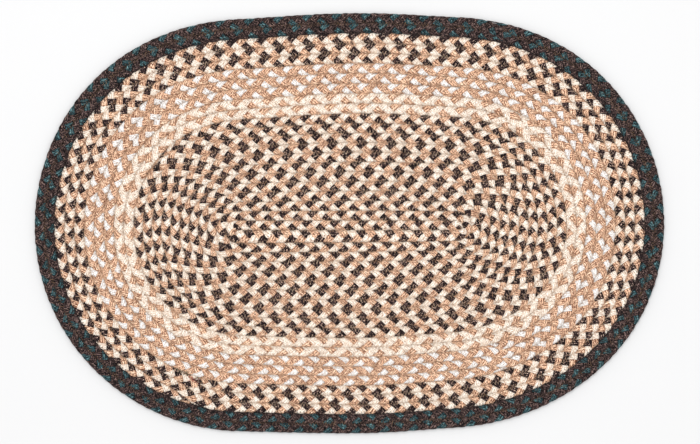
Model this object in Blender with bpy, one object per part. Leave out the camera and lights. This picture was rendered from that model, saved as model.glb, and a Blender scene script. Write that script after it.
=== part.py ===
"""Oval braided rug: one flat braid coiled outwards and sewn lap to lap, as five solids of different colours.

Units are metres, +Z up. The rug lies flat on Z = 0, its long side runs along X and its box is centred on the
origin. Every place in the rug is given by two numbers. The first is a phase, 0 to 4, that runs anticlockwise
round the rug: 0 to 1 is the straight above the core line, from right to left, 1 to 2 the left end, 2 to 3 the
straight below it, 3 to 4 the right end. The second counts rows of braid outwards from the core line.
"""
from math import pi

import bmesh
import bpy
import numpy as np

# The coil's core line, along which the first row of braid is laid.
CORE_LEFT = -0.1366
CORE_RIGHT = 0.1294
ARC_LENGTH = 0.785                # length of each rounded end where the reach is measured
STRAIGHT_LENGTH = CORE_RIGHT - CORE_LEFT
LOOP_LENGTH = 2 * (STRAIGHT_LENGTH + ARC_LENGTH)

# How far the rug's edge lies from the core line: phase, reach.
EDGE_REACH = (
    (0.00, 0.2586), (0.33, 0.2630), (0.66, 0.2618), (1.00, 0.2559),
    (1.20, 0.2523), (1.40, 0.2470), (1.60, 0.2428), (1.80, 0.2402),
    (2.00, 0.2418), (2.33, 0.2445), (2.66, 0.2444), (3.00, 0.2386),
    (3.15, 0.2372), (3.35, 0.2460), (3.60, 0.2540), (3.80, 0.2576),
)
# Width of one row in the four outer sections: phase, width.
OUTER_ROW_WIDTH = ((0.5, 0.01217), (1.5, 0.01208), (2.5, 0.01166), (3.5, 0.01184))

OUTER_ROWS = 10                   # rows outside the centre section
CENTRE_ROWS = 11                  # whole laps of the centre section
CENTRE_END = (1.122, 1.367)       # phases between which the centre's last row tapers out

# Across a row: a groove at each seam, and a flat crown between them, above and below.
THICKNESS = 0.0080
GROOVE_TOP = 0.0058
GROOVE_BOTTOM = 0.0017
CROWN_LOW = 0.24                  # the crown's edges, as fractions of the row's width
CROWN_HIGH = 0.76
FULL_WIDTH_ROWS = 0.9             # a row narrower than this is lower too
SECTION_GAP = 0.0003              # clear space between two sections

# Steps round the loop.
STRAIGHT_STEPS = 3
ARC_STEPS = 14
JOIN_STEPS = 3

# Outer sections: name, laps, rows from the rug's edge to the section's outer side, phases between which the
# braid's start widens and its end tapers, colour.
SECTIONS = (
    {"name": "braid_cream_band", "laps": 2, "outside": 8, "join": (3.800, 3.880), "colour": (0.76, 0.62, 0.45)},
    {"name": "braid_tan_band", "laps": 3, "outside": 5, "join": (3.060, 3.130), "colour": (0.60, 0.38, 0.25)},
    {"name": "braid_checked_band", "laps": 3, "outside": 2, "join": (1.860, 1.955), "colour": (0.46, 0.34, 0.25)},
    {"name": "braid_border", "laps": 2, "outside": 0, "join": (3.900, 3.965), "colour": (0.05, 0.04, 0.04)},
)
CENTRE = {"name": "braid_centre", "colour": (0.46, 0.34, 0.25)}
ROUGHNESS = 0.9


class LoopCurve:
    """A smooth periodic curve through a few values placed round the loop."""

    def __init__(self, table):
        self.at = distance_round_loop(np.array([phase for phase, value in table]))
        self.value = np.array([value for phase, value in table])
        self.step = np.diff(np.append(self.at, self.at[0] + LOOP_LENGTH))
        count = len(table)
        slope = (np.roll(self.value, -1) - self.value) / self.step
        matrix = np.zeros((count, count))
        right_side = np.zeros(count)
        for i in range(count):
            matrix[i, i - 1] += self.step[i - 1]
            matrix[i, i] += 2 * (self.step[i - 1] + self.step[i])
            matrix[i, (i + 1) % count] += self.step[i]
            right_side[i] = 6 * (slope[i] - slope[i - 1])
        self.bend = np.linalg.solve(matrix, right_side)

    def __call__(self, phase):
        distance = distance_round_loop(phase)
        distance = np.mod(distance - self.at[0], LOOP_LENGTH) + self.at[0]
        i = np.clip(np.searchsorted(self.at, distance, side="right") - 1, 0, len(self.at) - 1)
        j = (i + 1) % len(self.at)
        step = self.step[i]
        after = distance - self.at[i]
        before = step - after
        return ((self.bend[i] * before ** 3 + self.bend[j] * after ** 3) / (6 * step)
                + (self.value[i] / step - self.bend[i] * step / 6) * before
                + (self.value[j] / step - self.bend[j] * step / 6) * after)


def distance_round_loop(phase):
    phase = np.mod(phase, 4)
    side = np.floor(phase).astype(int)
    starts = np.array([0, STRAIGHT_LENGTH, STRAIGHT_LENGTH + ARC_LENGTH, 2 * STRAIGHT_LENGTH + ARC_LENGTH])
    lengths = np.array([STRAIGHT_LENGTH, ARC_LENGTH, STRAIGHT_LENGTH, ARC_LENGTH])
    return starts[side] + (phase - side) * lengths[side]


def smooth_step(value):
    value = np.clip(value, 0, 1)
    return value * value * (3 - 2 * value)


edge_reach = LoopCurve(EDGE_REACH)
outer_row_width = LoopCurve(OUTER_ROW_WIDTH)


def row_gain(phase):
    """How much of one row the coil has gained at the right end, where each lap steps outwards."""
    phase = np.mod(phase, 4)
    return np.where(phase < 3, 1.0, 0.5 - 0.5 * np.cos(pi * (phase - 3)))


def centre_rows(phase):
    """Rows from the core line to the centre section's outer side."""
    phase = np.mod(phase, 4)
    start, end = CENTRE_END
    last_row = 1 - smooth_step((phase - start) / (end - start))
    return CENTRE_ROWS + np.where(phase < 3, last_row, row_gain(phase))


def place(phase, rows):
    """X and Y of the point that lies a number of rows out from the core line at a phase."""
    phase = np.mod(phase, 4)
    side = int(phase)
    along = phase - side
    turn = pi * along
    base_x, out_x, out_y = (
        (CORE_RIGHT - STRAIGHT_LENGTH * along, 0, 1),
        (CORE_LEFT, -np.sin(turn), np.cos(turn)),
        (CORE_LEFT + STRAIGHT_LENGTH * along, 0, -1),
        (CORE_RIGHT, np.sin(turn), -np.cos(turn)),
    )[side]
    reach = float(edge_reach(phase))
    outer_width = float(outer_row_width(phase))
    inner_rows = float(centre_rows(phase))
    inner_width = (reach - OUTER_ROWS * outer_width) / inner_rows
    if rows > inner_rows:
        distance = reach - (inner_rows + OUTER_ROWS - rows) * outer_width
    else:
        distance = rows * inner_width
    return np.array([base_x + out_x * distance, out_y * distance]), np.array([out_x, out_y])


def make_stations():
    """Phases at which every section is cut across, closer together where a braid starts and ends."""
    joins = [section["join"] for section in SECTIONS] + [CENTRE_END]
    stations = [phase for start, end in joins for phase in np.linspace(start, end, JOIN_STEPS + 1)]
    nearest = 0.5 / ARC_STEPS
    for side, steps in enumerate((STRAIGHT_STEPS, ARC_STEPS, STRAIGHT_STEPS, ARC_STEPS)):
        for i in range(steps):
            phase = side + i / steps
            clear = all(phase < start - nearest or phase > end + nearest for start, end in joins)
            if clear or i == 0:
                stations.append(phase)
    return sorted(stations)


STATIONS = make_stations()
PER_LAP = len(STATIONS)


def station(index):
    return STATIONS[index % PER_LAP]


def band_seams(section):
    """First station, last sample and the seam height in rows at each sample of an outer section."""
    start, end = section["join"]
    first = STATIONS.index(start)
    inside = OUTER_ROWS - section["outside"] - section["laps"]

    def seam(sample):
        lap = sample // PER_LAP
        phase = station(first + sample)
        rows = lap - 1 + smooth_step(((phase - start) % 4) / (end - start))
        return float(centre_rows(phase) + inside + np.clip(rows, 0, section["laps"]))

    last = section["laps"] * PER_LAP + JOIN_STEPS
    return first, last, seam


def centre_seams():
    """The same for the centre section, which starts at the core line's right end."""
    first = STATIONS.index(3.0)

    def seam(sample):
        lap = sample // PER_LAP
        phase = station(first + sample)
        rows = lap - 1 + float(row_gain(phase))
        return float(np.clip(rows, 0, centre_rows(phase)))

    taper_end = max(i for i, phase in enumerate(STATIONS) if phase <= CENTRE_END[1] + 1e-9)
    last = CENTRE_ROWS * PER_LAP + (taper_end - first) % PER_LAP
    return first, last, seam


def coil_mesh(name, first, last, seam, inner_gap, outer_gap, centre):
    """One closed solid that follows a braid's laps: each lap is a ridge, fused to the next at their seam."""
    mesh = bmesh.new()
    known = {}

    def vertex(point, height):
        key = (round(point[0], 6), round(point[1], 6), round(height, 6))
        if key not in known:
            known[key] = mesh.verts.new((point[0], point[1], height))
        return known[key]

    def face(*corners):
        ring = [corner for i, corner in enumerate(corners) if corner is not corners[i - 1]]
        if len(set(ring)) > 2:
            mesh.faces.new(ring)

    total = last + PER_LAP
    heights = [seam(sample) for sample in range(total + 1)]
    seams = []
    for sample in range(total + 1):
        point, outwards = place(station(first + sample), heights[sample])
        if sample <= PER_LAP:
            point = point + outwards * inner_gap
        if sample >= last:
            point = point - outwards * outer_gap
        seams.append(point - centre)

    def section_points(sample):
        low, high = seams[sample], seams[sample + PER_LAP]
        full = min(1.0, (heights[sample + PER_LAP] - heights[sample]) / FULL_WIDTH_ROWS)
        crown_top = GROOVE_TOP + (THICKNESS - GROOVE_TOP) * full
        crown_bottom = GROOVE_BOTTOM * (1 - full)
        crown = [low + (high - low) * fraction for fraction in (CROWN_LOW, CROWN_HIGH)]
        top = [vertex(low, GROOVE_TOP), vertex(crown[0], crown_top), vertex(crown[1], crown_top),
               vertex(high, GROOVE_TOP)]
        bottom = [vertex(low, GROOVE_BOTTOM), vertex(crown[0], crown_bottom), vertex(crown[1], crown_bottom),
                  vertex(high, GROOVE_BOTTOM)]
        return top, bottom

    rows = [section_points(sample) for sample in range(last + 1)]
    for here, there in zip(rows, rows[1:]):
        for i in range(3):
            face(here[0][i], here[0][i + 1], there[0][i + 1], there[0][i])
            face(here[1][i], there[1][i], there[1][i + 1], here[1][i + 1])
    has_hole = heights[0] > 0
    if has_hole:
        for here, there in zip(rows[:PER_LAP], rows[1:PER_LAP + 1]):
            face(here[1][0], here[0][0], there[0][0], there[1][0])
    for here, there in zip(rows[last - PER_LAP:last], rows[last - PER_LAP + 1:last + 1]):
        face(here[0][3], here[1][3], there[1][3], there[0][3])

    bmesh.ops.recalc_face_normals(mesh, faces=mesh.faces)
    data = bpy.data.meshes.new(name)
    mesh.to_mesh(data)
    mesh.free()
    return data


def box_centre():
    """Middle of the rug's outline, which the whole rug is moved by."""
    edge = np.array([place(phase, float(centre_rows(phase)) + OUTER_ROWS)[0] for phase in STATIONS])
    return (edge.min(axis=0) + edge.max(axis=0)) / 2


def jute(name, colour):
    material = bpy.data.materials.new(name)
    material.use_nodes = True
    shader = material.node_tree.nodes["Principled BSDF"]
    shader.inputs["Base Color"].default_value = (*colour, 1)
    shader.inputs["Roughness"].default_value = ROUGHNESS
    shader.inputs["Metallic"].default_value = 0
    return material


def add_piece(name, data, colour, parent):
    piece = bpy.data.objects.new(name, data)
    piece.data.materials.append(jute(name, colour))
    piece.data.shade_smooth()
    piece.data.set_sharp_from_angle(angle=pi / 5)
    piece.parent = parent
    bpy.context.collection.objects.link(piece)


def main():
    for old in list(bpy.data.objects):
        bpy.data.objects.remove(old, do_unlink=True)
    rug = bpy.data.objects.new("rug", None)
    bpy.context.collection.objects.link(rug)
    centre = box_centre()
    half_gap = SECTION_GAP / 2

    data = coil_mesh(CENTRE["name"], *centre_seams(), 0, half_gap, centre)
    add_piece(CENTRE["name"], data, CENTRE["colour"], rug)
    for section in SECTIONS:
        outer_gap = half_gap if section["outside"] else 0
        data = coil_mesh(section["name"], *band_seams(section), half_gap, outer_gap, centre)
        add_piece(section["name"], data, section["colour"], rug)


main()
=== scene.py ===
"""Looks of the braided oval rug: the strands of each braid, the zigzag sewing and the jute of their yarns.

Units are metres. As in the CAD source, a place in the rug is given by a phase, 0 to 4, that runs
anticlockwise round it (0 to 1 is the straight above the core line, from right to left, 1 to 2 the left end,
2 to 3 the straight below it, 3 to 4 the right end), and by a number of rows of braid outwards from the core
line. A coil is one section's braid, and its lap position counts 4 for each lap from where the braid starts.
"""
from math import pi

import bpy
import numpy as np
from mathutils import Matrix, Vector
from mathutils.bvhtree import BVHTree

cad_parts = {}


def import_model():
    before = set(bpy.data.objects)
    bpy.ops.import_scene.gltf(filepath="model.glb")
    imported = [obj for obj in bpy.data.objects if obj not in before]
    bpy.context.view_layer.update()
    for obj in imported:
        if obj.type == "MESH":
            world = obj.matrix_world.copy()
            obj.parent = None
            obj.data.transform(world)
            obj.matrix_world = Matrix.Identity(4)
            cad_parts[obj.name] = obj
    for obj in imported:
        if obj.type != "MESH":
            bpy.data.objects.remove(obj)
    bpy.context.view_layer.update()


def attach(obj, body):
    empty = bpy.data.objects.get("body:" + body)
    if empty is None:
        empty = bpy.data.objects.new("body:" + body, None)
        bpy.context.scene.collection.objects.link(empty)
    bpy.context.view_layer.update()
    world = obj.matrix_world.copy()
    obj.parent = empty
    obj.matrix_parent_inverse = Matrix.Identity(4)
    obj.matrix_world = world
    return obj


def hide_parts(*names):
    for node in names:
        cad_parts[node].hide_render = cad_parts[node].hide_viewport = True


# ---- The coils, in the CAD source's own sizes ----
CORE_LEFT = -0.1366
CORE_RIGHT = 0.1294
ARC_LENGTH = 0.785                # length of each rounded end where the reach is measured
STRAIGHT_LENGTH = CORE_RIGHT - CORE_LEFT
LOOP_LENGTH = 2 * (STRAIGHT_LENGTH + ARC_LENGTH)
# How far the rug's edge lies from the core line: phase, reach.
EDGE_REACH = (
    (0.00, 0.2586), (0.33, 0.2630), (0.66, 0.2618), (1.00, 0.2559),
    (1.20, 0.2523), (1.40, 0.2470), (1.60, 0.2428), (1.80, 0.2402),
    (2.00, 0.2418), (2.33, 0.2445), (2.66, 0.2444), (3.00, 0.2386),
    (3.15, 0.2372), (3.35, 0.2460), (3.60, 0.2540), (3.80, 0.2576),
)
# Width of one row in the four outer sections: phase, width.
OUTER_ROW_WIDTH = ((0.5, 0.01217), (1.5, 0.01208), (2.5, 0.01166), (3.5, 0.01184))
OUTER_ROWS = 10                   # rows outside the centre section
CENTRE_ROWS = 11                  # whole laps of the centre section
CENTRE_START = 3.0                # phase where the centre's first row starts
CENTRE_END = (1.122, 1.367)       # phases between which its last row tapers out
OUTLINE_STEP = 0.5 / 7            # between the phases at which the outline is measured

# How far the sewn braid lies outside the CAD's even rows: phase, distance.
ROW_SHIFT = (
    (0.00, 0.0000), (0.75, 0.0001), (1.15, 0.0014), (1.35, 0.0028), (1.60, 0.0045), (1.90, 0.0047),
    (2.15, 0.0041), (2.40, 0.0031), (2.70, 0.0026), (3.00, 0.0019), (3.40, 0.0004), (3.70, -0.0006),
)
SHIFT_FADE = 0.5                  # share of it lost at the rug's edge

# Strands are named in the order in which their lobes follow each other in the direction of travel. The
# repeat is the braid's usual length from a strand's lobe to its next one on the same side. Its count is how
# many repeats have gone by at some lap positions, and grows evenly with length between them: lap position,
# repeats.
CENTRE = {
    "name": "centre", "node": "braid_centre", "strands": ("black", "tan", "cream"), "repeat": 0.0357,
    "count": ((0, 0.73), (5, 18.42), (9, 37.41), (13, 58.11), (17, 80.75), (21, 105.39), (25, 131.92),
              (29, 160.62), (33, 191.15), (37, 223.65), (41, 257.98), (45, 294.31), (46.28, 304.74)),
}
# Outer sections: laps, rows from the rug's edge to the section's outer side, phases between which the
# braid's start widens and its end tapers.
BANDS = (
    {"name": "cream_band", "node": "braid_cream_band", "laps": 2, "outside": 8, "join": (3.800, 3.880),
     "strands": ("cream", "tan", "cream"), "repeat": 0.0380,
     "count": ((0, -0.34), (1.2, 8.57), (2.2, 19.42), (4.2, 38.68), (5.2, 45.70), (6.2, 57.34),
               (8.05, 74.32))},
    {"name": "tan_band", "node": "braid_tan_band", "laps": 3, "outside": 5, "join": (3.060, 3.130),
     "strands": ("tan", "white", "tan"), "repeat": 0.0364,
     "count": ((0, -0.15), (0.94, 12.58), (1.94, 19.86), (2.94, 33.68), (4.94, 55.83), (8.94, 101.09),
               (12.04, 132.82))},
    {"name": "checked_band", "node": "braid_checked_band", "laps": 3, "outside": 2, "join": (1.860, 1.955),
     "strands": ("black", "cream", "tan"), "repeat": 0.0364,
     "count": ((0, 0.61), (1.14, 10.10), (2.14, 26.91), (6.14, 76.50), (8.14, 101.62), (10.14, 127.95),
               (12.06, 152.30))},
    {"name": "border", "node": "braid_border", "laps": 2, "outside": 0, "join": (3.900, 3.965),
     "strands": ("brown", "teal", "brown"), "repeat": 0.0349,
     "count": ((0, -0.86), (1.1, 8.74), (2.1, 29.51), (4.1, 58.56), (6.1, 87.58), (8.04, 115.90))},
)
POSITION_STEP = 0.0025            # of the lap positions at which a coil is worked out

# ---- One strand of a braid: widths as parts of its row's width, heights in metres ----
ROW_WIDTH = 0.01215               # a usual row, at which the heights below hold
SWING = 0.403                     # of the strand's middle, to each side of the row's middle
STEEPNESS = 1.5                   # how much faster than a sine wave it crosses the middle
HALF_WIDTH = 0.354                # of the flat strand
HALF_THICKNESS = 0.00150
LIFT = 0.00180                    # how far it rises over and dips under the others
MIDDLE_HEIGHT = 0.0040
ROLL = 1.8                        # how soon it turns on edge towards the row's sides
EDGE_PINCH = 0.5                  # share of its width lost there
FLAT_POWER = 4.0                  # of its cross-section's rounded outline, across the flat of it
EDGE_POWER = 3.0                  # and through it
TIP_LENGTH = 0.12                 # of a repeat, over which its ends are rounded
TIP_CUT = 0.97                    # of that length, where the rounding stops short of a point
# The strands that aren't of the usual size: width and swing, as shares of a usual strand's.
STRAND_SIZE = {"teal": (0.82, 0.92), "brown": (1.10, 1.0), "white": (0.86, 0.98)}
PRESS = 0.75                      # share pressed back of what would stand out over the row's sides
SIDES = 10
STEPS = 16                        # along one repeat
LEAST_WIDTH = 0.02                # of a usual row, where a coil starts or ends
TUCKED_WIDTH = 0.38               # of a usual row, which its strands keep there
TUCK = 0.5                        # how far inwards they lie there, in parts of the width kept past the row's
FLOOR_CLEAR = 0.00005             # between the floor and the lowest strands and stitches

# ---- Sewing ----
STITCH = 0.00195                  # along the seam, for one crossing of it
STITCH_REACH = 0.0027             # to each side of the seam
REACH_SPREAD = 0.16               # how uneven the reach is, as a share of it
STITCH_SPREAD = 0.0002            # how uneven the stitches are along the seam
THREAD_RADIUS = {"tan": 0.00040, "shaded_tan": 0.00036, "brown": 0.00055, "olive": 0.00050, "red": 0.00050}
THREAD_FLATNESS = 1.6             # how much wider than thick a thread is
THREAD_SIDES = 3
THREAD_CLEAR = 0.00005            # between the strands' surface and the thread's middle
# Lap positions, after a coil's start and before its end, between which its own rows are sewn together.
SEWN_AFTER, SEWN_BEFORE = 0.06, 4.03
CORE_LINE_END = 0.999             # the phase at which the sewing on the core line stops
SEWING_SEED = 5
RAY_ABOVE, RAY_BELOW = 0.02, -0.01  # heights that the strands' surface is looked for from
# Short runs of odd stitches: thread, first and last phase, rows outside the centre section.
ODD_STITCHES = (
    ("brown", 0.468, 0.538, 7.0), ("olive", 1.866, 1.898, 5.05), ("olive", 1.905, 1.932, 5.2),
    ("red", 1.894, 1.924, 5.45),
)
CORE_LINE_POINTS = 200
ODD_LINE_POINTS = 60

# ---- Maps of each mesh ----
STRAND_MAP = "Strand"             # the distance along each strand and the share of the way round it
BAKE_MAP = "OFBake"               # every face to itself on one square, for baked materials


class LoopCurve:
    """A smooth periodic curve through a few values placed round the loop."""

    def __init__(self, table):
        self.at = distance_round_loop(np.array([phase for phase, value in table]))
        self.value = np.array([value for phase, value in table])
        self.step = np.diff(np.append(self.at, self.at[0] + LOOP_LENGTH))
        count = len(table)
        slope = (np.roll(self.value, -1) - self.value) / self.step
        matrix = np.zeros((count, count))
        right_side = np.zeros(count)
        for i in range(count):
            matrix[i, i - 1] += self.step[i - 1]
            matrix[i, i] += 2 * (self.step[i - 1] + self.step[i])
            matrix[i, (i + 1) % count] += self.step[i]
            right_side[i] = 6 * (slope[i] - slope[i - 1])
        self.bend = np.linalg.solve(matrix, right_side)

    def __call__(self, phase):
        distance = distance_round_loop(phase)
        distance = np.mod(distance - self.at[0], LOOP_LENGTH) + self.at[0]
        i = np.clip(np.searchsorted(self.at, distance, side="right") - 1, 0, len(self.at) - 1)
        j = (i + 1) % len(self.at)
        step = self.step[i]
        after = distance - self.at[i]
        before = step - after
        return ((self.bend[i] * before ** 3 + self.bend[j] * after ** 3) / (6 * step)
                + (self.value[i] / step - self.bend[i] * step / 6) * before
                + (self.value[j] / step - self.bend[j] * step / 6) * after)


def distance_round_loop(phase):
    """Length of the measured loop up to a phase: its two straights and two rounded ends."""
    phase = np.mod(phase, 4)
    side = np.floor(phase).astype(int)
    starts = np.array([0, STRAIGHT_LENGTH, STRAIGHT_LENGTH + ARC_LENGTH, 2 * STRAIGHT_LENGTH + ARC_LENGTH])
    lengths = np.array([STRAIGHT_LENGTH, ARC_LENGTH, STRAIGHT_LENGTH, ARC_LENGTH])
    return starts[side] + (phase - side) * lengths[side]


def smooth_step(value):
    """From 0 to 1, level at both ends."""
    value = np.clip(value, 0, 1)
    return value * value * (3 - 2 * value)


edge_reach = LoopCurve(EDGE_REACH)
outer_row_width = LoopCurve(OUTER_ROW_WIDTH)
row_shift = LoopCurve(ROW_SHIFT)


def row_gain(phase):
    """How much of one row the coil has gained at the right end, where each lap steps outwards."""
    phase = np.mod(phase, 4)
    return np.where(phase < 3, 1.0, 0.5 - 0.5 * np.cos(pi * (phase - 3)))


def centre_rows(phase):
    """Rows from the core line to the centre section's outer side."""
    phase = np.mod(phase, 4)
    start, end = CENTRE_END
    last_row = 1 - smooth_step((phase - start) / (end - start))
    return CENTRE_ROWS + np.where(phase < 3, last_row, row_gain(phase))


def place(phase, rows):
    """X and Y of the points that lie a number of rows out from the core line at a phase."""
    phase = np.mod(phase, 4)
    side = np.floor(phase).astype(int)
    along = phase - side
    turn = pi * along
    nothing = np.zeros_like(phase)
    base_x = np.choose(side, [CORE_RIGHT - STRAIGHT_LENGTH * along, nothing + CORE_LEFT,
                              CORE_LEFT + STRAIGHT_LENGTH * along, nothing + CORE_RIGHT])
    out_x = np.choose(side, [nothing, -np.sin(turn), nothing, np.sin(turn)])
    out_y = np.choose(side, [nothing + 1, np.cos(turn), nothing - 1, -np.cos(turn)])
    reach = edge_reach(phase)
    outer_width = outer_row_width(phase)
    inner_rows = centre_rows(phase)
    inner_width = (reach - OUTER_ROWS * outer_width) / inner_rows
    distance = np.where(rows > inner_rows, reach - (inner_rows + OUTER_ROWS - rows) * outer_width,
                        rows * inner_width)
    distance = distance + row_shift(phase) * np.clip(rows, 0, 1) * (
        1 - SHIFT_FADE * np.clip(rows / (inner_rows + OUTER_ROWS), 0, 1))
    return np.stack([base_x + out_x * distance, out_y * distance], axis=-1)


def box_centre():
    """Middle of the rug's outline, which the whole rug is moved by."""
    phase = np.arange(0, 4, OUTLINE_STEP)
    edge = place(phase, centre_rows(phase) + OUTER_ROWS)
    return (edge.min(axis=0) + edge.max(axis=0)) / 2


def coil_of(section):
    """A section's start phase, its end's lap position and the row of its inner side at a lap position."""
    if section is CENTRE:
        def seam(position):
            rows = np.floor(position / 4) - 1 + row_gain(CENTRE_START + position)
            return np.clip(rows, 0, centre_rows(CENTRE_START + position))
        return CENTRE_START, 4 * CENTRE_ROWS + (CENTRE_END[1] - CENTRE_START) % 4, seam

    start, end = section["join"]
    inside = OUTER_ROWS - section["outside"] - section["laps"]

    def seam(position):
        rows = np.floor(position / 4) - 1 + smooth_step(np.mod(position, 4) / (end - start))
        return centre_rows(start + position) + inside + np.clip(rows, 0, section["laps"])
    return start, 4 * section["laps"] + end - start, seam


def unit(vectors):
    return vectors / np.maximum(np.linalg.norm(vectors, axis=-1, keepdims=True), 1e-9)


def length_to(points):
    """Length of a line up to each of its points."""
    return np.concatenate([[0], np.cumsum(np.linalg.norm(np.diff(points, axis=0), axis=1))])


def ways_of(line):
    """The way along a flat line and the way outwards from it, at each of its points."""
    travel = unit(np.gradient(line, axis=0))
    return travel, np.stack([travel[:, 1], -travel[:, 0]], axis=1)


def coil_line(section, spacing, centre):
    """Distances evenly spaced along a coil's braid, and its middle, way outwards, width and repeats there."""
    start, end, seam = coil_of(section)

    def sides_at(position):
        return [place(start + position, seam(position + lap)) - centre for lap in (0, 4)]

    position = np.arange(0, end, POSITION_STEP)
    low, high = sides_at(position)
    kept = np.linalg.norm(high - low, axis=1) > LEAST_WIDTH * ROW_WIDTH
    length = length_to((low[kept] + high[kept]) / 2)
    at = np.arange(0, length[-1], spacing)
    position = np.interp(at, length, position[kept])
    low, high = sides_at(position)
    middle = (low + high) / 2
    outwards = ways_of(middle)[1]
    counted_position, counted = np.array(section["count"]).T
    repeats = np.interp(at, np.interp(counted_position, position, at), counted)
    wide = np.linalg.norm(high - low, axis=1)
    tucked = np.maximum(TUCKED_WIDTH * ROW_WIDTH - wide, 0)
    return at, middle - outwards * tucked[:, None] * TUCK, outwards, wide + tucked, repeats


def tube(rings):
    """Vertices, faces and each face corner's ring and side for a closed tube through rings of points."""
    count, sides = rings.shape[:2]
    ring = np.repeat(np.arange(count - 1), sides)
    side = np.tile(np.arange(sides), count - 1)
    after = (side + 1) % sides
    quads = np.stack([ring * sides + side, ring * sides + after,
                      (ring + 1) * sides + after, (ring + 1) * sides + side], axis=1)
    corner_ring = np.stack([ring, ring, ring + 1, ring + 1], axis=1)
    corner_side = np.stack([side, side + 1, side + 1, side], axis=1)
    return rings.reshape(-1, 3), quads, corner_ring, corner_side


def share_round(ring):
    """How much of the way round a ring each of its points lies, and 1 at the end."""
    length = np.linalg.norm(np.roll(ring, -1, axis=0) - ring, axis=1)
    return np.concatenate([[0], np.cumsum(length)]) / length.sum()


def strips_of(parts):
    """How many strips of a map each tube takes, for a map about as fine along the tubes as round them."""
    lengths = np.array([along[-1] for rings, along in parts])
    girths = [np.linalg.norm(np.roll(rings, -1, axis=1) - rings, axis=2).sum(axis=1).mean()
              for rings, along in parts]
    strip_length = np.sqrt(lengths.sum() * np.mean(girths))
    return np.maximum(1, np.round(lengths / strip_length)).astype(int)


def laid_out(along, share, corner_ring, corner_side, strips):
    """Where the corners of a tube's faces lie on strips as wide as a map: along a strip, and strips up it."""
    edges = np.linspace(0, len(along) - 1, strips + 1).round().astype(int)
    strip = np.searchsorted(edges, corner_ring.min(axis=1), side="right") - 1
    start, end = along[edges[strip]], along[edges[strip + 1]]
    across = (along[corner_ring] - start[:, None]) / (end - start)[:, None]
    return np.stack([across.ravel(), (strip[:, None] + share[corner_side]).ravel()], axis=1)


def mesh_from(name, parts):
    """One mesh of several tubes, each given by its rings and its length up to each ring, with both maps."""
    points, loops, totals, maps, layouts = [], [], [], [], []
    offset = 0
    all_strips = strips_of(parts)
    first_strips = np.cumsum(all_strips) - all_strips
    for (rings, along), strips, first_strip in zip(parts, all_strips, first_strips):
        count, sides = rings.shape[:2]
        vertices, quads, corner_ring, corner_side = tube(rings)
        caps = np.stack([np.arange(sides)[::-1], (count - 1) * sides + np.arange(sides)])
        points.append(vertices)
        loops.append(np.concatenate([quads.ravel(), caps.ravel()]) + offset)
        totals.append(np.concatenate([np.full(len(quads), 4), np.full(2, sides)]))
        share = share_round(rings[count // 2])
        cap_share = np.tile(share[:-1], 2)
        cap_map = np.stack([np.repeat(along[[0, -1]], sides), cap_share], axis=1)
        quad_map = np.stack([along[corner_ring].ravel(), share[corner_side].ravel()], axis=1)
        maps.append(np.concatenate([quad_map, cap_map]))
        cap_strip = np.repeat([0, strips - 1], sides)
        cap_layout = np.stack([np.repeat([0, 1], sides), cap_strip + cap_share], axis=1)
        quad_layout = laid_out(along, share, corner_ring, corner_side, strips)
        layouts.append(np.concatenate([quad_layout, cap_layout]) + (0, first_strip))
        offset += len(vertices)
    points = np.concatenate(points)
    loops = np.concatenate(loops)
    totals = np.concatenate(totals)
    starts = np.concatenate([[0], np.cumsum(totals)[:-1]])
    mesh = bpy.data.meshes.new(name)
    mesh.vertices.add(len(points))
    mesh.vertices.foreach_set("co", points.astype(np.float32).ravel())
    mesh.loops.add(len(loops))
    mesh.loops.foreach_set("vertex_index", loops.astype(np.int32))
    mesh.polygons.add(len(totals))
    mesh.polygons.foreach_set("loop_start", starts.astype(np.int32))
    mesh.polygons.foreach_set("loop_total", totals.astype(np.int32))
    layout = np.concatenate(layouts) / (1, all_strips.sum())
    for map_name, corners in ((STRAND_MAP, np.concatenate(maps)), (BAKE_MAP, layout)):
        layer = mesh.uv_layers.new(name=map_name)
        layer.uv.foreach_set("vector", corners.astype(np.float32).ravel())
    mesh.update(calc_edges=True)
    mesh.validate()
    mesh.shade_smooth()
    return mesh


def add_piece(name, mesh, material):
    """A visible piece that rides on the root, as the whole rug does."""
    piece = bpy.data.objects.new(name, mesh)
    bpy.context.scene.collection.objects.link(piece)
    mesh.materials.append(material)
    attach(piece, "root")
    return piece


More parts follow.
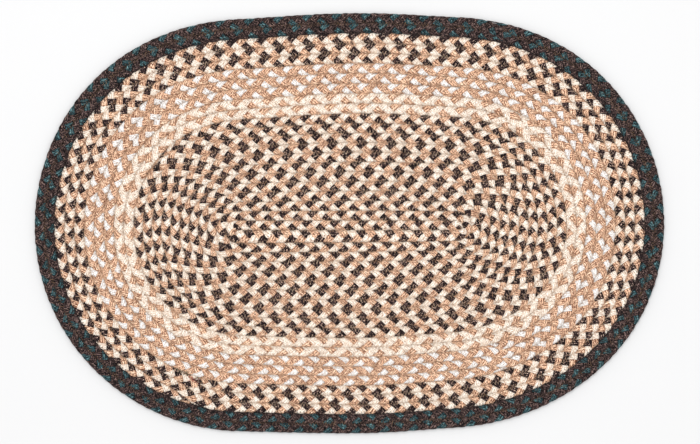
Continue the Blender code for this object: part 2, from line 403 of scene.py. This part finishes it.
def strand_rings(section, number, centre):
    """Rings round one strand of a coil's braid, and the distance along the strand of each."""
    at, middle, outwards, wide, repeats = coil_line(section, section["repeat"] / STEPS, centre)
    share = np.minimum(wide / ROW_WIDTH, 1)
    turn = 2 * pi * (repeats - number / 3)
    swing = np.sin(turn)
    size, reach = STRAND_SIZE.get(section["strands"][number], (1.0, 1.0))
    across = wide * SWING * reach * STEEPNESS * swing / np.sqrt(1 + (STEEPNESS ** 2 - 1) * swing ** 2)
    height = MIDDLE_HEIGHT - LIFT * share * np.sin(2 * turn)
    line = np.column_stack([middle + outwards * across[:, None], height])
    travel = unit(np.gradient(line, axis=0))
    roll = pi / 2 * np.tanh(-ROLL * np.cos(turn)) / np.tanh(ROLL)
    facing = np.column_stack([outwards * np.cos(roll)[:, None], np.sin(roll)])
    facing = unit(facing - travel * np.sum(facing * travel, axis=1, keepdims=True))
    sideways = np.cross(facing, travel)
    from_tip = np.minimum(at, at[-1] - at) / (TIP_LENGTH * section["repeat"])
    round_tip = np.sqrt(1 - np.clip(1 - from_tip, 0, TIP_CUT) ** 2)
    half_width = wide * HALF_WIDTH * size * (1 - EDGE_PINCH * swing ** 4) * round_tip
    half_thickness = HALF_THICKNESS * share * round_tip
    angle = 2 * pi * (np.arange(SIDES) + 0.5) / SIDES
    round_x, round_y = (np.sign(wave) * np.abs(wave) ** (2 / power)
                        for wave, power in ((np.cos(angle), FLAT_POWER), (np.sin(angle), EDGE_POWER)))
    rings = (line[:, None, :]
             + sideways[:, None, :] * (half_width[:, None] * round_x)[:, :, None]
             + facing[:, None, :] * (half_thickness[:, None] * round_y)[:, :, None])
    aside = np.sum((rings[:, :, :2] - middle[:, None, :]) * outwards[:, None, :], axis=2)
    excess = aside - np.clip(aside, -wide[:, None] / 2, wide[:, None] / 2)
    rings[:, :, :2] -= PRESS * excess[:, :, None] * outwards[:, None, :]
    rings[:, :, 2] = np.maximum(rings[:, :, 2], FLOOR_CLEAR)
    return rings, length_to(line)


def add_strands(section, centre, yarns):
    """Each coil's strands, one piece for each colour of yarn."""
    for colour in dict.fromkeys(section["strands"]):
        parts = [strand_rings(section, number, centre)
                 for number, strand in enumerate(section["strands"]) if strand == colour]
        name = f"{section['name']}_{colour}_strand"
        piece = add_piece(name, mesh_from(name, parts), yarns[colour])
        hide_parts(section["node"])
        yield piece


def tree_of(pieces):
    """Something to find the strands' surface in."""
    points, faces = [], []
    offset = 0
    for piece in pieces:
        mesh = piece.data
        co = np.zeros(len(mesh.vertices) * 3, np.float32)
        mesh.vertices.foreach_get("co", co)
        points.extend(co.reshape(-1, 3).tolist())
        faces.extend([index + offset for index in face.vertices] for face in mesh.polygons)
        offset += len(mesh.vertices)
    return BVHTree.FromPolygons(points, faces)


def seam_lines(centre):
    """Points along each line of sewing and its thread: the core line, and each coil's own and outer seams."""
    core_line = np.linspace(0, CORE_LINE_END, CORE_LINE_POINTS)
    yield place(core_line, np.zeros(CORE_LINE_POINTS)) - centre, "tan"
    for section in (CENTRE, *BANDS):
        start, end, seam = coil_of(section)
        outer = np.arange(end - 4, end, POSITION_STEP)
        inner = np.arange(SEWN_AFTER, end - SEWN_BEFORE, POSITION_STEP)
        # The border's own seam is sewn with the tan thread, darkened as painted shade between its dark
        # strands.
        thread = "shaded_tan" if section["name"] == "border" else "tan"
        yield place(start + inner, seam(inner + 4)) - centre, thread
        if section["name"] != "border":
            thread = "brown" if section["name"] == "checked_band" else "tan"
            yield place(start + outer, seam(outer + 4)) - centre, thread


def odd_line(first, last, rows, centre):
    """Points along a short run of odd stitches."""
    phase = np.linspace(first, last, ODD_LINE_POINTS)
    return place(phase, centre_rows(phase) + rows) - centre


def zigzag(line, radius, tree, above, rng):
    """Rings round a thread that crosses a seam at every stitch."""
    length = length_to(line)
    at = np.arange(STITCH, length[-1] - STITCH, STITCH)
    middle = np.column_stack([np.interp(at, length, line[:, k]) for k in (0, 1)])
    travel, outwards = ways_of(middle)
    sign = np.where(np.arange(len(at)) % 2, 1.0, -1.0)
    reach = STITCH_REACH * sign * (1 + REACH_SPREAD * rng.standard_normal(len(at)))
    astray = travel * STITCH_SPREAD * rng.standard_normal((len(at), 1))
    points = middle + outwards * reach[:, None] + astray
    height = np.empty(len(at))
    down = Vector((0, 0, -1 if above else 1))
    ray_start = RAY_ABOVE if above else RAY_BELOW
    for i, (x, y) in enumerate(points):
        hit = tree.ray_cast(Vector((x, y, ray_start)), down)[0]
        height[i] = hit.z if hit else MIDDLE_HEIGHT
    height += THREAD_CLEAR if above else -THREAD_CLEAR
    height = np.maximum(height, radius + FLOOR_CLEAR)
    path = np.column_stack([points, height])
    before = unit(np.diff(path, axis=0, prepend=path[:1] - (path[1:2] - path[:1])))
    after = unit(np.diff(path, axis=0, append=path[-1:] + (path[-1:] - path[-2:-1])))
    travel = unit(before + after)
    side = unit(np.cross(travel, [0, 0, 1]))
    up = np.cross(side, travel)
    angle = 2 * pi * np.arange(THREAD_SIDES) / THREAD_SIDES + (pi / 2 if above else -pi / 2)
    rings = (path[:, None, :]
             + side[:, None, :] * (radius * np.cos(angle))[None, :, None] * THREAD_FLATNESS
             + up[:, None, :] * (radius * np.sin(angle))[None, :, None])
    return rings, length_to(path)


def add_sewing(tree, centre, threads):
    """The sewing of both faces, one piece for each thread. The odd stitches are on the top only."""
    for above, face in ((True, "top"), (False, "underside")):
        rng = np.random.default_rng(SEWING_SEED)
        lines = list(seam_lines(centre))
        if above:
            lines += [(odd_line(*ends, centre), thread) for thread, *ends in ODD_STITCHES]
        for colour in dict.fromkeys(thread for line, thread in lines):
            parts = [zigzag(line, THREAD_RADIUS[colour], tree, above, rng)
                     for line, thread in lines if thread == colour]
            name = f"{colour}_thread_{face}"
            add_piece(name, mesh_from(name, parts), threads[colour])


# ---- Materials ----
YARNS_ROUND = 8.0                 # yarns side by side round a strand
PLY_PITCH = 0.0030                # of a yarn's twist
THREAD_PITCH = 0.0008             # of a thread's twist
SWAY_SCALE = 60.0                 # of the yarns' sideways sway, along a strand
FIBRE_SCALE = (430.0, 15.0)       # of fibres and specks, along a strand and round it
FIBRE_SEED, SPECK_SEED = 3.7, 9.1
YARN_TONE_STEP = 110.0            # of each yarn's own tone, along a strand
YARN_TONE_SCALE = 2.3
DYE_SCALE = 45.0                  # of the dye, through the whole rug
DYE_DARKEST, DYE_RANGE = 0.88, 0.24
THREAD_TONE_SCALE = 120.0
NOISE_ROUGHNESS = 0.55

# Colours of each yarn, and how strongly the shade painted into its grooves and its dark fibres show: base,
# colour of that painted groove shade and of the dark fibres, tip, speck, strength of both.
YARN_LOOKS = {
    "tan": ((252, 206, 172), (92, 46, 26), (255, 227, 198), (92, 56, 40), 0.50),
    "cream": ((249, 239, 225), (166, 122, 88), (254, 252, 243), (140, 102, 76), 0.30),
    "white": ((249, 248, 247), (170, 154, 142), (255, 255, 255), (150, 126, 108), 0.34),
    "black": ((54, 38, 39), (14, 8, 9), (104, 80, 77), (222, 190, 172), 0.9),
    "brown": ((76, 58, 57), (12, 8, 8), (132, 108, 104), (142, 116, 106), 0.95),
    "teal": ((64, 97, 103), (18, 32, 36), (112, 150, 154), (98, 112, 110), 0.9),
}
# Pale and dark parts of each thread.
THREAD_COLOURS = {
    "tan": ((234, 204, 174), (182, 140, 108)),
    # The tan thread once more, darker: painted shade where it sinks between the border's dark strands.
    "shaded_tan": ((150, 118, 88), (80, 58, 42)),
    "brown": ((58, 40, 38), (28, 19, 18)),
    "olive": ((140, 134, 104), (74, 72, 56)),
    "red": ((206, 96, 92), (150, 56, 54)),
}


def linear(colour):
    """A colour in linear light, from red, green and blue in 0 to 255 on a screen."""
    share = np.array(colour, float) / 255
    value = np.where(share <= 0.04045, share / 12.92, ((share + 0.055) / 1.055) ** 2.4)
    return (*value, 1)


class Nodes:
    """Short ways to add nodes to a material."""

    def __init__(self, name):
        self.material = bpy.data.materials.new(name)
        self.material.use_nodes = True
        self.tree = self.material.node_tree
        self.shader = self.tree.nodes["Principled BSDF"]

    def add(self, kind, settings=None, **inputs):
        node = self.tree.nodes.new(kind)
        for key, value in (settings or {}).items():
            setattr(node, key, value)
        for key, value in inputs.items():
            self.feed(node.inputs[key.replace("_", " ")], value)
        return node

    def feed(self, socket, value):
        if isinstance(value, bpy.types.NodeSocket):
            self.tree.links.new(value, socket)
        else:
            socket.default_value = value

    def math(self, operation, first, second=0.0):
        node = self.tree.nodes.new("ShaderNodeMath")
        node.operation = operation
        for socket, value in zip(node.inputs, (first, second)):
            self.feed(socket, value)
        return node.outputs[0]

    def sum_of(self, terms):
        """The sum of patterns, each times its weight."""
        total = 0.0
        for pattern, weight in terms:
            total = self.math("ADD", total, self.math("MULTIPLY", pattern, weight))
        return total

    def mix(self, factor, first, second, blend="MIX"):
        node = self.tree.nodes.new("ShaderNodeMix")
        node.data_type = "RGBA"
        node.blend_type = blend
        node.clamp_factor = True
        for name, value in (("Factor_Float", factor), ("A_Color", first), ("B_Color", second)):
            socket = next(s for s in node.inputs if s.identifier == name)
            self.feed(socket, value)
        return next(s for s in node.outputs if s.identifier == "Result_Color")

    def ramp(self, value, zero, one):
        """0 up to the value zero, 1 from the value one on and smooth in between. Either may be the larger."""
        node = self.tree.nodes.new("ShaderNodeMapRange")
        node.interpolation_type = "SMOOTHSTEP"
        node.inputs["From Min"].default_value = zero
        node.inputs["From Max"].default_value = one
        self.feed(node.inputs["Value"], value)
        return node.outputs["Result"]

    def noise(self, vector, scale, detail):
        node = self.add("ShaderNodeTexNoise", Vector=vector, Scale=scale, Detail=detail,
                        Roughness=NOISE_ROUGHNESS)
        return node.outputs["Fac"]

    def strand_map(self):
        """The distance along the strand, and the share of the way round it."""
        spot = self.add("ShaderNodeUVMap", {"uv_map": STRAND_MAP})
        parts = self.add("ShaderNodeSeparateXYZ", Vector=spot.outputs["UV"])
        return parts.outputs["X"], parts.outputs["Y"]

    def position(self):
        return self.add("ShaderNodeTexCoord").outputs["Object"]

    def twist(self, along, pitch, round_it):
        """A wave that winds round a yarn or thread, once round it in each pitch."""
        turns = self.sum_of(((along, 2 * pi / pitch), (round_it, 2 * pi)))
        return self.math("SINE", turns)

    def relief(self, height, strength, depth):
        bump = self.add("ShaderNodeBump", Height=height, Strength=strength, Distance=depth)
        self.feed(self.shader.inputs["Normal"], bump.outputs["Normal"])


def yarn_material(name, base, shade_and_dark_fibre, tip, speck, shade_and_fibre_share):
    """Jute: yarns lying side by side along the strand, each twisted, with uneven dye and a few specks, and
    shade painted into the grooves between yarns and between plies.
    """
    n = Nodes(name)
    along, round_it = n.strand_map()

    def strand_noise(along_scale, round_scale, detail, seed):
        spot = n.add("ShaderNodeCombineXYZ", X=n.math("MULTIPLY", along, along_scale),
                     Y=n.math("MULTIPLY", round_it, round_scale), Z=seed)
        return n.noise(spot.outputs[0], 1.0, detail)

    sway = strand_noise(SWAY_SCALE, 0.0, 1.0, 0.0)
    yarn = n.math("ADD", n.math("MULTIPLY", round_it, YARNS_ROUND), sway)
    ridge = n.math("ABSOLUTE", n.math("SINE", n.math("MULTIPLY", yarn, pi)))
    twist = n.twist(along, PLY_PITCH, yarn)
    one_yarn = n.add("ShaderNodeCombineXYZ", X=n.math("MULTIPLY", along, YARN_TONE_STEP),
                     Y=n.math("FLOOR", yarn))
    yarn_tone = n.noise(one_yarn.outputs[0], YARN_TONE_SCALE, 1.0)
    fibre = strand_noise(*FIBRE_SCALE, 1.5, FIBRE_SEED)
    specks = n.ramp(strand_noise(*FIBRE_SCALE, 2.0, SPECK_SEED), 0.62, 0.64)
    dye = n.noise(n.position(), DYE_SCALE, 2.0)

    # Each pattern, its values where it darkens nothing and where it darkens most, and by how much. Ridge and
    # twist paint shade into the grooves between yarns and between plies; fibre and yarn tone are the jute's
    # own uneven colour.
    shading_and_tone = ((ridge, 0.70, 0.10, 1.30), (fibre, 0.50, 0.43, 1.15),
                 (twist, -0.30, -0.90, 0.60), (yarn_tone, 0.48, 0.32, 0.35))
    dark = n.sum_of((n.ramp(pattern, none, most), weight) for pattern, none, most, weight in shading_and_tone)
    pale = n.math("MULTIPLY", n.ramp(yarn_tone, 0.46, 0.66), n.ramp(fibre, 0.42, 0.60))
    colour = n.mix(pale, linear(base), linear(tip))
    # painted shade in the grooves between yarns and plies, with the dark fibres and darker yarns, pulls the
    # colour towards its dark colour
    colour = n.mix(n.math("MULTIPLY", dark, shade_and_fibre_share), colour, linear(shade_and_dark_fibre))
    shade = n.math("ADD", DYE_DARKEST, n.math("MULTIPLY", dye, DYE_RANGE))
    shade = n.add("ShaderNodeCombineXYZ", X=shade, Y=shade, Z=shade).outputs[0]
    colour = n.mix(1.0, colour, shade, "MULTIPLY")
    colour = n.mix(specks, colour, linear(speck))
    n.feed(n.shader.inputs["Base Color"], colour)

    n.relief(n.sum_of(((ridge, 0.7), (twist, 0.10), (fibre, 0.35))), 0.8, 0.0004)
    n.shader.inputs["Roughness"].default_value = 0.92
    n.shader.inputs["Specular IOR Level"].default_value = 0.2
    return n.material


def thread_material(name, pale, dark):
    """A twisted sewing thread."""
    n = Nodes(name)
    along, round_it = n.strand_map()
    tone = n.noise(n.position(), THREAD_TONE_SCALE, 2.0)
    colour = n.mix(n.ramp(tone, 0.35, 0.65), linear(dark), linear(pale))
    n.feed(n.shader.inputs["Base Color"], colour)
    n.relief(n.twist(along, THREAD_PITCH, round_it), 0.5, 0.0001)
    n.shader.inputs["Roughness"].default_value = 0.75
    return n.material


# ---- Floor, light and camera ----
FLOOR_REACH = 4.0                 # to each side of the rug's middle
FLOOR_COLOUR = (0.70, 0.70, 0.703, 1)
SKY_STRENGTH = 0.85
# Square lights that shine at the rug's middle: name, place, side, power.
LIGHTS = (("key_light", (-0.25, 0.65, 2.7), 1.6, 40), ("fill_light", (0.9, -0.6, 2.8), 2.0, 10))
PICTURE_WIDTH = 0.850             # of what the picture shows at the height below
PICTURE_HEIGHT = 0.006
PICTURE_CENTRE = (0.0007, 0.0015)
LENS = 100.0
SENSOR = 36.0


def add_floor():
    corners = [(x * FLOOR_REACH, y * FLOOR_REACH, 0) for x, y in ((-1, -1), (1, -1), (1, 1), (-1, 1))]
    mesh = bpy.data.meshes.new("floor")
    mesh.from_pydata(corners, [], [(0, 1, 2, 3)])
    floor = bpy.data.objects.new("floor", mesh)
    bpy.context.scene.collection.objects.link(floor)
    n = Nodes("floor_paint")
    n.shader.inputs["Base Color"].default_value = FLOOR_COLOUR
    n.shader.inputs["Roughness"].default_value = 0.8
    mesh.materials.append(n.material)


def add_light(name, location, side, power):
    data = bpy.data.lights.new(name, "AREA")
    data.shape = "SQUARE"
    data.size = side
    data.energy = power
    light = bpy.data.objects.new(name, data)
    light.location = location
    light.rotation_mode = "QUATERNION"
    light.rotation_quaternion = (-Vector(location)).to_track_quat("-Z", "Y")
    bpy.context.scene.collection.objects.link(light)


def add_lights():
    world = bpy.context.scene.world or bpy.data.worlds.new("studio")
    bpy.context.scene.world = world
    world.use_nodes = True
    sky = world.node_tree.nodes["Background"]
    sky.inputs["Color"].default_value = (1.0, 1.0, 1.0, 1)
    sky.inputs["Strength"].default_value = SKY_STRENGTH
    for light in LIGHTS:
        add_light(*light)


def add_camera():
    data = bpy.data.cameras.new("camera")
    data.lens = LENS
    data.sensor_width = SENSOR
    data.clip_start = 0.05
    data.clip_end = 20
    camera = bpy.data.objects.new("camera", data)
    distance = PICTURE_WIDTH * LENS / SENSOR
    camera.location = (*PICTURE_CENTRE, distance + PICTURE_HEIGHT)
    bpy.context.scene.collection.objects.link(camera)
    bpy.context.scene.camera = camera


def main():
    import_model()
    bpy.context.scene.view_settings.view_transform = "Standard"
    add_camera()
    add_lights()
    add_floor()
    centre = box_centre()
    yarns = {colour: yarn_material(f"{colour}_jute", *look) for colour, look in YARN_LOOKS.items()}
    threads = {colour: thread_material(f"{colour}_sewing", *pair) for colour, pair in THREAD_COLOURS.items()}
    strands = [piece for section in (CENTRE, *BANDS) for piece in add_strands(section, centre, yarns)]
    add_sewing(tree_of(strands), centre, threads)


main()
